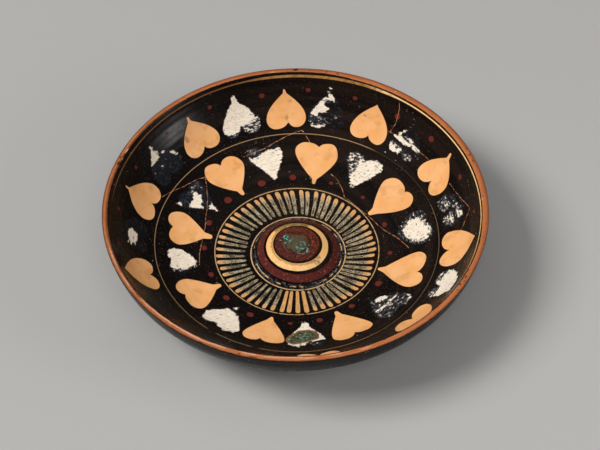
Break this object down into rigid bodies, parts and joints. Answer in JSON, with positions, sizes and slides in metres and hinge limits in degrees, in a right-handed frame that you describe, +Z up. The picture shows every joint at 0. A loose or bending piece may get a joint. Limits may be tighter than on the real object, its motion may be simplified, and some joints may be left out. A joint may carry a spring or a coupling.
{
  "type": "phiale",
  "caption": "Shallow round fired-clay libation bowl with a flat lip and a hollow central boss, painted with rings of ivy leaves and tongues.",
  "frame": {"origin": "centre of the standing ring, on the surface that the bowl stands on", "axes": "+Z up along the bowl's axis, out of its mouth; +Y away from the side that the picture was taken from"},
  "size_m": [0.2108, 0.2108, 0.045],
  "materials": {
    "painted_clay": "satin black gloss over orange clay, with a bare orange lip and worn red, white and buff paint"
  },
  "bodies": {
    "root": {"phiale": "painted_clay"}
  },
  "joints": []
}
